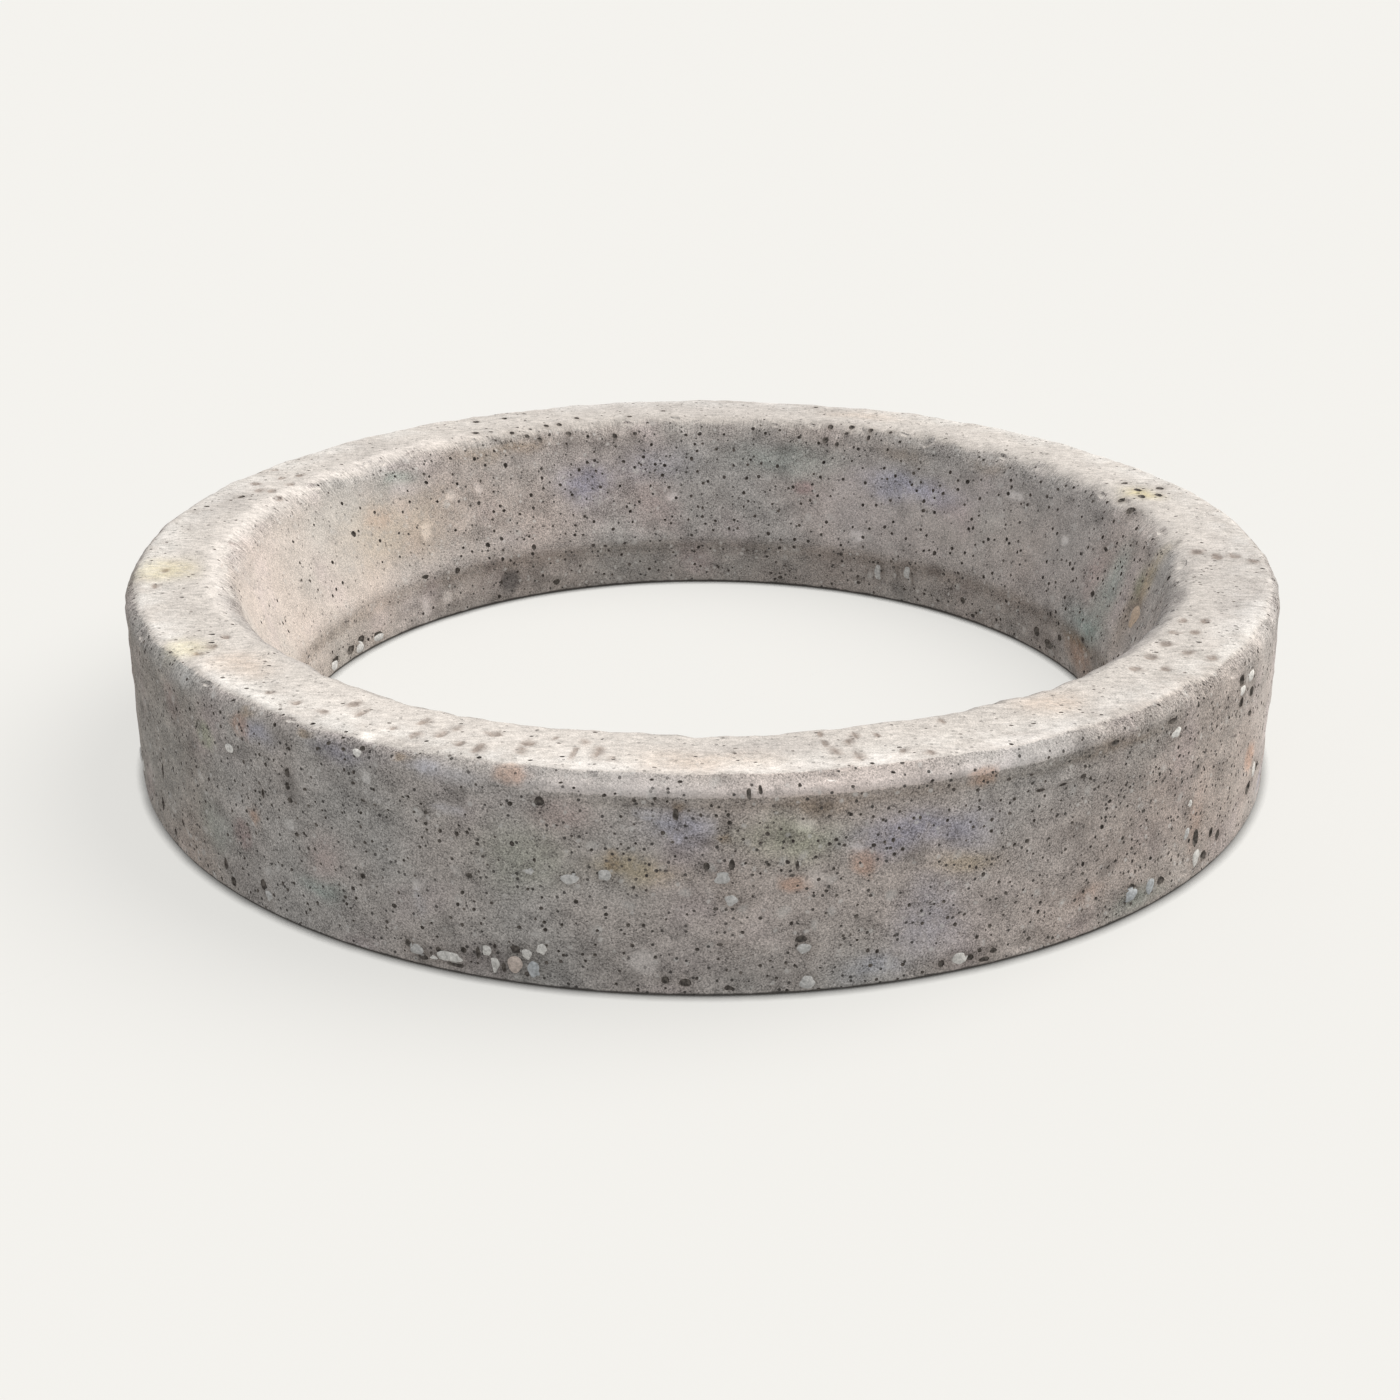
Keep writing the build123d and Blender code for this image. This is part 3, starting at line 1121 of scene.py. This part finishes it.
# Belts of tone round the ring, mostly painted light and painted shade: tint, face, first and last
# bearing, lowest and highest, softness.
# On the top, radii stand for heights.
BELTS = [
    (BAND_SHADE, inner, 75, 232, -0.02, 0.058, 0.005),
    (BAND_SHADE, inner, 60, 310, 0.042, 0.058, 0.005),
    (WARM_PAINTED_LIGHT, inner, -128, -52, -0.02, 0.190, 0.008),
    (PALE_AND_PAINTED_LIGHT, inner, -140, -52, 0.065, 0.178, 0.008),
    (BACK_ROLL_SHADE, top, 135, 225, 0.46, 0.511, 0.010),
    (ROLL_SHADE, top, -80, 80, 0.46, 0.510, 0.006),
    (PALE_AND_PAINTED_LIGHT, top, -75, -35, 0.572, 0.588, 0.005),
    (CREST_HIGHLIGHT, top, -150, -60, 0.500, 0.520, 0.008),
    (PALE_AND_PAINTED_LIGHT, top, -44, -4, 0.515, 0.568, 0.008),
    (PALE_AND_PAINTED_LIGHT, outer, -16, 3, 0.1880, 0.2030, 0.0015),
    (LIP_SHADOW, outer, -12, 44, 0.1740, 0.1870, 0.003),
    (WARM_SHADE, outer, -90, -44, -0.02, 0.190, 0.010),
    (FAINT_FILL_LIGHT, inner, 95, 245, -0.02, 0.190, 0.010),
]
BELT_TAPER = 8.0

# Stains, painted light and painted shade seen from the front: tint, face, bearing, then in millimetres
# height or radius on the top, half length and half height, then strength
STAINS = [
    (SHADE, outer, 36, 100, 150, 120, 1), (PALE_AND_PAINTED_LIGHT, outer, 0, 90, 120, 60, 0.6),
    (SHADE, inner, -143, 120, 110, 70, 0.35), (BISQUE, outer, 45, 100, 250, 150, 0.9),
    (PALE_AND_PAINTED_LIGHT, outer, 60, 100, 60, 120, 0.6), (PALE_AND_PAINTED_LIGHT, outer, 68, 90, 90, 140, 1.9),
    (WARM_PAINTED_LIGHT, inner, 135, 120, 160, 50, 0.8), (SHADE, top, 180, 565, 320, 60, 0.9),
    (SHADE, top, 82, 560, 150, 60, 0.7), (SHADE, top, 68, 565, 80, 30, 0.9),
    (SHADE, top, 4, 540, 60, 20, 1), (SHADE, top, -105, 555, 90, 30, 0.7),
    (SHADE, top, -130, 550, 80, 40, 0.4), (FROST, outer, -21, 193, 34, 7, 0.9),
    (SLATE, outer, -2, 158, 36, 15, 0.9), (LICHEN, outer, -14.5, 125, 40, 30, 0.5),
    (ROSE, outer, -11, 165, 30, 12, 0.9), (SOOT_AND_SHADE, inner, -147, 25, 80, 30, 0.5),
    (LAVENDER, outer, 17, 143, 62, 18, 1), (LAVENDER, outer, 19, 60, 36, 36, 0.6),
    (LAVENDER, outer, 21.5, 125, 20, 20, 0.5), (LICHEN, outer, 7.5, 148, 48, 20, 0.9),
    (OCHRE, outer, -5, 117, 38, 12, 0.9), (OCHRE, outer, 21.5, 104, 28, 9, 0.8),
    (UMBER, outer, 9, 178, 32, 6, 0.8), (MAROON, outer, -55, 160, 22, 26, 0.7),
    (LAVENDER, outer, -40.5, 178, 24, 9, 0.8), (LAVENDER, outer, -31, 188, 30, 8, 0.6),
    (TEAL, outer, -48.5, 60, 28, 22, 0.5), (ROSE, outer, -33, 81, 22, 22, 0.9),
    (TEAL, outer, -34, 50, 24, 8, 0.8), (PALE_AND_PAINTED_LIGHT, outer, -21, 90, 90, 50, 0.6),
    (SOOT_AND_SHADE, outer, -1, 98, 22, 10, 0.7), (SOOT_AND_SHADE, outer, -2.5, 34, 70, 26, 0.6),
    (SOOT_AND_SHADE, outer, 8, 70, 12, 40, 0.6), (SOOT_AND_SHADE, outer, 5, 20, 50, 14, 0.7),
    (SOOT_AND_SHADE, outer, -10, 32, 30, 20, 0.6), (SLATE, outer, 14, 20, 24, 12, 0.8),
    (TEAL, outer, 41, 13, 34, 11, 0.9), (RUST, outer, 34.5, 38, 20, 8, 0.6),
    (RUST, outer, 49.5, 60, 8, 34, 0.5), (UMBER, outer, 38, 183, 65, 6, 0.5),
    (SOOT_AND_SHADE, outer, -32, 163, 20, 7, 0.8), (SOOT_AND_SHADE, outer, -30.5, 146, 16, 4, 0.9),
    (SOOT_AND_SHADE, outer, -26.5, 142, 18, 4, 0.9), (SOOT_AND_SHADE, outer, -26, 125, 18, 4, 0.9),
    (SOOT_AND_SHADE, outer, -23, 140, 4, 22, 0.8), (SOOT_AND_SHADE, outer, -24, 98, 4, 18, 0.7),
    (SOOT_AND_SHADE, outer, -37, 150, 5, 26, 0.8), (SOOT_AND_SHADE, outer, -18.5, 22, 75, 14, 0.7),
    (SOOT_AND_SHADE, outer, 22.5, 14, 30, 8, 0.8), (SOOT_AND_SHADE, outer, -44, 22, 40, 12, 0.7),
    (CLAY, inner, -128, 125, 90, 50, 0.9), (BISQUE, inner, -143, 120, 110, 70, 1),
    (RUST, inner, -125, 145, 22, 13, 0.5), (UMBER, inner, -147, 184, 55, 10, 0.7),
    (LAVENDER, inner, -161.5, 131, 36, 24, 1), (SHADE, inner, -164, 125, 60, 55, 1),
    (SLATE, inner, -172, 150, 50, 20, 0.7), (ROSE, inner, -173, 100, 34, 30, 0.8),
    (TEAL, inner, 167, 160, 75, 20, 0.6), (UMBER, inner, 149, 180, 34, 8, 0.6),
    (LAVENDER, inner, 146, 143, 70, 17, 0.9), (TEAL, inner, 101, 130, 26, 45, 0.9),
    (OCHRE, inner, 90, 165, 18, 30, 0.8), (PALE_AND_PAINTED_LIGHT, inner, 116, 120, 50, 50, 0.8),
    (LICHEN, inner, 93, 148, 14, 20, 1), (UMBER, inner, 92, 130, 20, 50, 0.6),
    (TEAL, inner, 103, 72, 50, 18, 1), (RUST, inner, 104, 30, 36, 14, 1.2),
    (UMBER, inner, 105, 44, 36, 7, 1.2), (ROSE, inner, 106, 120, 24, 26, 0.8),
    (CHALK, inner, 157.5, 122, 21, 12, 0.3), (CHALK, inner, 130, 129, 22, 7, 0.3),
    (CHALK, inner, 126.5, 73, 24, 8, 0.3), (CHALK, inner, 121, 111, 22, 6, 0.3),
    (FROST, inner, -130.5, 166, 20, 7, 0.8), (TEAL, inner, -130.5, 178, 26, 7, 0.9),
    (FROST, inner, -148, 81, 25, 10, 0.4), (FROST, inner, 152, 110, 90, 50, 0.4),
    (UMBER, inner, -153, 183, 32, 7, 0.7), (UMBER, inner, 134.5, 186, 28, 8, 0.5),
    (STRAW, top, -81, 561, 34, 30, 0.9), (STRAW, top, -57, 575, 22, 20, 0.8),
    (PEACH, top, -50, 552, 30, 26, 0.8), (STRAW, top, 109.5, 531, 24, 20, 1.4),
    (PEACH, top, 35, 535, 34, 24, 0.9), (PEACH, top, 0, 565, 60, 22, 0.8),
    (PEACH, top, 158, 555, 50, 20, 0.6), (PALE_AND_PAINTED_LIGHT, top, -29, 575, 30, 14, 1),
    (PALE_AND_PAINTED_LIGHT, top, -112, 550, 40, 22, 0.5), (PALE_AND_PAINTED_LIGHT, top, 14, 578, 40, 8, 1),
    (PALE_AND_PAINTED_LIGHT, top, -10, 560, 30, 20, 0.6), (PALE_AND_PAINTED_LIGHT, top, 60, 560, 40, 14, 0.6),
    (PALE_AND_PAINTED_LIGHT, top, 90, 545, 30, 20, 1),
]

# Small crisp flecks, in the same form as the stains but all of full strength
FLECKS = [
    (RUST, outer, -15.3, 199, 13, 9), (RUST, outer, 23, 185, 13, 8), (RUST, outer, 7.2, 105, 11, 7),
    (RUST, outer, 13, 121, 10, 12), (RUST, outer, -43, 181, 12, 10), (RUST, outer, -42, 95, 6, 7),
    (RUST, outer, 61.5, 82, 14, 13), (LICHEN, outer, -48.8, 153, 14, 12),
    (MAROON, outer, -44, 70, 12, 15), (UMBER, outer, -7.2, 128, 7, 10),
    (UMBER, outer, -42.4, 196, 8, 5), (UMBER, outer, -34.9, 197, 6, 4),
    (UMBER, outer, -25.1, 199, 6, 4), (CHALK, outer, 8.9, 111, 11, 5),
    (CHALK, outer, -4.8, 34, 12, 12), (CHALK, outer, 8.1, 160, 8, 6),
    (CHALK, outer, 12.2, 136, 7, 5), (CHALK, outer, -52.3, 195, 7, 7),
    (CHALK, outer, -37.3, 102, 5, 5), (CHALK, outer, -28.4, 171, 5, 5),
    (CHALK, outer, -24, 80, 4, 5), (CHALK, top, -28.8, 586, 7, 8),
    (FROST, outer, -22.8, 194, 10, 6), (FROST, outer, -4.4, 172, 11, 4),
    (FROST, outer, -2.8, 163, 6, 7), (FROST, outer, -1.9, 151, 4, 6), (FROST, outer, 0, 162, 11, 9),
    (SOOT_AND_SHADE, outer, 1.8, 161, 4, 9), (SOOT_AND_SHADE, outer, 0.2, 146, 10, 4), (SOOT_AND_SHADE, outer, -2.2, 140, 8, 5),
    (UMBER, outer, -1.9, 178, 5, 4), (UMBER, outer, 1.7, 149, 5, 4), (FROST, outer, -24, 61, 3, 14),
    (FROST, outer, -20.7, 159, 16, 3), (COAL, inner, -147, 26, 13, 15),
    (SOOT_AND_SHADE, inner, -144.1, 16, 8, 10), (SOOT_AND_SHADE, inner, -133.1, 28, 10, 7),
    (SOOT_AND_SHADE, inner, -132.4, 14, 10, 6), (SOOT_AND_SHADE, inner, -144, 54, 11, 6),
    (SOOT_AND_SHADE, inner, 139.6, 53, 12, 10), (MAROON, inner, 164, 126, 12, 8),
    (CHALK, inner, -130.3, 23, 5, 12), (CHALK, inner, -134.7, 27, 7, 5),
    (CHALK, inner, -139.1, 144, 7, 5), (CHALK, inner, -144, 145, 6, 6),
    (CHALK, inner, -132.9, 111, 6, 10), (CHALK, inner, -175.1, 112, 7, 5),
    (CHALK, inner, 154, 76, 8, 6), (CHALK, inner, 128.2, 163, 12, 5),
    (CHALK, inner, 115.8, 137, 6, 5),
]

# Scattered stains where the front doesn't show: face, first and last bearing, count
HIDDEN_STAINS = [(outer, 68, 292, 34), (inner, -85, 85, 16)]
HIDDEN_TINTS = [SLATE, LAVENDER, LICHEN, TEAL, OCHRE, UMBER, MAROON, ROSE, CLAY, SOOT_AND_SHADE, RUST]
STAIN_LENGTHS = (0.012, 0.055)
STAIN_HEIGHTS = (0.008, 0.024)
STAIN_LEVELS = (0.02, 0.175)
STAIN_STRENGTHS = (0.4, 0.9)

# How finely and how far a stain's edge wanders
WANDER_PITCH = 28.0
WANDER_REACH = 0.010


def broken_edges(points):
    """The points shifted a little, unevenly, so that a stain's edge wanders."""
    shift = [noise.noise_vector(Vector(point) * WANDER_PITCH) for point in points]
    return points + WANDER_REACH * np.array(shift)


def smudge(casting, tint, near, half_length, half_height, strength):
    """A tint, with its place and axes on the casting, its half sizes and its strength."""
    return (tint, *seat(casting, near), half_length, half_height, strength)


def plan_stains_light_and_shade(casting):
    """The stain rows seen from the front, with their painted light and painted shade, and stains of the
    same kinds where the front doesn't show.
    """
    stains = []
    for tint, face, bearing, height, half_length, half_height, strength in in_metres(STAINS):
        stains.append(smudge(casting, tint, face(bearing, height), half_length, half_height, strength))
    draw = np.random.default_rng(SEED + 1)
    for face, first, last, count in HIDDEN_STAINS:
        for _ in range(count):
            tint = HIDDEN_TINTS[draw.integers(len(HIDDEN_TINTS))]
            half_length = draw.uniform(*STAIN_LENGTHS)
            half_height = draw.uniform(*STAIN_HEIGHTS)
            near = face(draw.uniform(first, last), draw.uniform(*STAIN_LEVELS))
            strength = draw.uniform(*STAIN_STRENGTHS)
            stains.append(smudge(casting, tint, near, half_length, half_height, strength))
    return stains


def belt_share(points, face, first, last, low, high, soft):
    """How much of a belt lies on each point."""
    radius, bearing, height = polar(points)
    across = height
    on_face = ramp(radius, 0.572, 0.580) if face is outer else ramp(-radius, -0.53, -0.52)
    if face is top:
        across = radius
        on_face = ramp(height, HEIGHT - 0.030, HEIGHT - 0.022)
    edges = ramp(across, low - soft, low + soft) * ramp(-across, -high - soft, -high + soft)
    return on_face * edges * within(bearing, first, last, BELT_TAPER)


def stain_light_and_shade_casting(casting, stains, smudges, dabs):
    """Mineral tints, dirt, painted light and painted shade over the casting, as a colour for each
    point.
    """
    points = points_of(casting)
    wandering = broken_edges(points)
    tints = np.ones((len(points), 3))
    # The belts: mostly painted light and painted shade
    for tint, *belt in BELTS:
        tints *= 1 + belt_share(points, *belt)[:, None] * (np.array(tint) - 1)
    layers = [(wandering, stains, SOFT_FALL), (points, smudges, SOFT_FALL), (points, dabs, CRISP_FALL)]
    for where, layer, fall in layers:
        for tint, *spot, strength in layer:
            tints *= 1 + strength * spread(where, *spot, fall)[:, None] * (np.array(tint) - 1)
    layer = casting.data.attributes.new("tint", "FLOAT_COLOR", "POINT")
    layer.data.foreach_set("color", np.column_stack((tints, np.ones(len(tints)))).ravel())
    radius, bearing, _ = polar(points)
    # Where the shoulder is made pale: partly wear, partly painted light
    rubbed_and_lit = within(bearing, *RUBBED_LIT_SHOULDER, BELT_TAPER) * ramp(radius, 0.570, 0.580)
    casting.data.attributes.new("rubbed_and_lit", "FLOAT", "POINT").data.foreach_set("value", rubbed_and_lit)


def colour_stones(stones, colours):
    """A colour for each stone of the heap."""
    each = len(stones.data.vertices) // len(colours)
    rows = np.column_stack((np.repeat(colours, each, axis=0), np.ones(len(colours) * each)))
    layer = stones.data.attributes.new("stone", "FLOAT_COLOR", "POINT")
    layer.data.foreach_set("color", rows.ravel())


def make_ring():
    """The casting with its relief, hollows, stones and finishes."""
    casting = spin_casting()
    casting.data.materials.append(concrete())
    give_relief(casting)
    hollows = Hollows(casting)
    hollows.set_marks()
    hollows.scatter_honeycomb()
    hollows.scatter_chips()
    hollows.scatter_pores()
    stains = plan_stains_light_and_shade(casting)
    carve(casting, hollows.dishes.piece("dishes"), casting.data.materials[0])
    carve(casting, hollows.pores.piece("pores"), hollow_dirt())
    stain_light_and_shade_casting(casting, stains, hollows.smudges, hollows.dabs)
    take_up(casting)
    bpy.ops.object.shade_smooth_by_angle(angle=math.radians(40))
    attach(casting, "root")
    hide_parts("concrete_ring")

    stones = hollows.stones.piece("bedded_stones")
    stones.data.materials.append(river_stone())
    colour_stones(stones, hollows.stone_colours)
    take_up(stones)
    bpy.ops.object.shade_smooth()
    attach(stones, "root")


# Studio
FLOOR_SIZE = 80.0
FLOOR_GLOW = (0.66, 0.652, 0.626, 1)
FLOOR_LIGHT = 0.45
FLOOR_COLOUR = (0.185, 0.183, 0.178, 1)
FLOOR_SHADE = (0.05, 0.048, 0.045, 1)
SHADE_REACH = 0.010
SKY = (0.60, 0.605, 0.615, 1)
BACKDROP = (0.887, 0.879, 0.847, 1)
SUN_FROM = Vector((0.56, 0.24, 0.79))
SUN_STRENGTH = 2.9
SUN_COLOUR = (1.0, 0.965, 0.915)
SUN_SPREAD = 50.0

# Camera, found by matching the ring's outlines
CAMERA_PLACE = (0.0, -2.1639, 0.9303)
CAMERA_PITCH = 22.792
CAMERA_YAW = 0.077
SENSOR = 36.0
LENS = 54.77


def make_floor():
    """A plain pale floor that glows softly, as a light table does, and is dark only beside the ring,
    where a contact shadow is painted into its glow.
    """
    deselect_all()
    bpy.ops.mesh.primitive_plane_add(size=FLOOR_SIZE)
    floor = bpy.context.active_object
    floor.name = "floor"
    finish = Finish("pale_floor")
    matt = finish.node("BsdfDiffuse", None, {"Color": FLOOR_COLOUR})
    dim = finish.node("Emission", None, {"Color": FLOOR_GLOW, "Strength": FLOOR_LIGHT})
    # Painted contact shadow: the glow darkened where ambient occlusion finds the ring near
    open_share = finish.node("AmbientOcclusion", {"samples": 2}, {"Distance": SHADE_REACH}, "AO")
    colour = finish.mix(open_share * open_share, FLOOR_SHADE, FLOOR_GLOW)
    glow = finish.node("Emission", None, {"Color": colour, "Strength": 1.0})
    seen = finish.node("LightPath", output="Is Camera Ray")
    shown = finish.node("MixShader", None, {0: seen, 1: dim, 2: glow})
    both = finish.node("AddShader", None, {0: matt, 1: shown})
    finish.node("OutputMaterial", None, {"Surface": both})
    floor.data.materials.append(finish.material)


def make_sky():
    """Even light from all round, behind it the floor's own colour."""
    world = bpy.data.worlds.new("studio")
    world.use_nodes = True
    bpy.context.scene.world = world
    tree = world.node_tree
    tree.nodes.clear()
    seen = tree.nodes.new("ShaderNodeLightPath")
    light = tree.nodes.new("ShaderNodeBackground")
    light.inputs["Color"].default_value = SKY
    backdrop = tree.nodes.new("ShaderNodeBackground")
    backdrop.inputs["Color"].default_value = BACKDROP
    choice = tree.nodes.new("ShaderNodeMixShader")
    output = tree.nodes.new("ShaderNodeOutputWorld")
    tree.links.new(seen.outputs["Is Camera Ray"], choice.inputs["Fac"])
    tree.links.new(light.outputs[0], choice.inputs[1])
    tree.links.new(backdrop.outputs[0], choice.inputs[2])
    tree.links.new(choice.outputs[0], output.inputs["Surface"])


def make_sun():
    """A broad soft key light from the upper right, a little behind the ring."""
    lamp = bpy.data.lights.new("key", "SUN")
    lamp.energy = SUN_STRENGTH
    lamp.color = SUN_COLOUR
    lamp.angle = math.radians(SUN_SPREAD)
    key = bpy.data.objects.new("key", lamp)
    key.rotation_euler = SUN_FROM.to_track_quat("Z", "Y").to_euler()
    bpy.context.scene.collection.objects.link(key)


def make_camera():
    """The camera at the photograph's place."""
    lens = bpy.data.cameras.new("camera")
    lens.sensor_width = SENSOR
    lens.lens = LENS
    camera = bpy.data.objects.new("camera", lens)
    camera.location = CAMERA_PLACE
    camera.rotation_euler = (math.radians(90 - CAMERA_PITCH), 0, math.radians(CAMERA_YAW))
    bpy.context.scene.collection.objects.link(camera)
    bpy.context.scene.camera = camera


make_ring()
make_floor()
make_sky()
make_sun()
make_camera()
bpy.context.scene.view_settings.view_transform = "Standard"
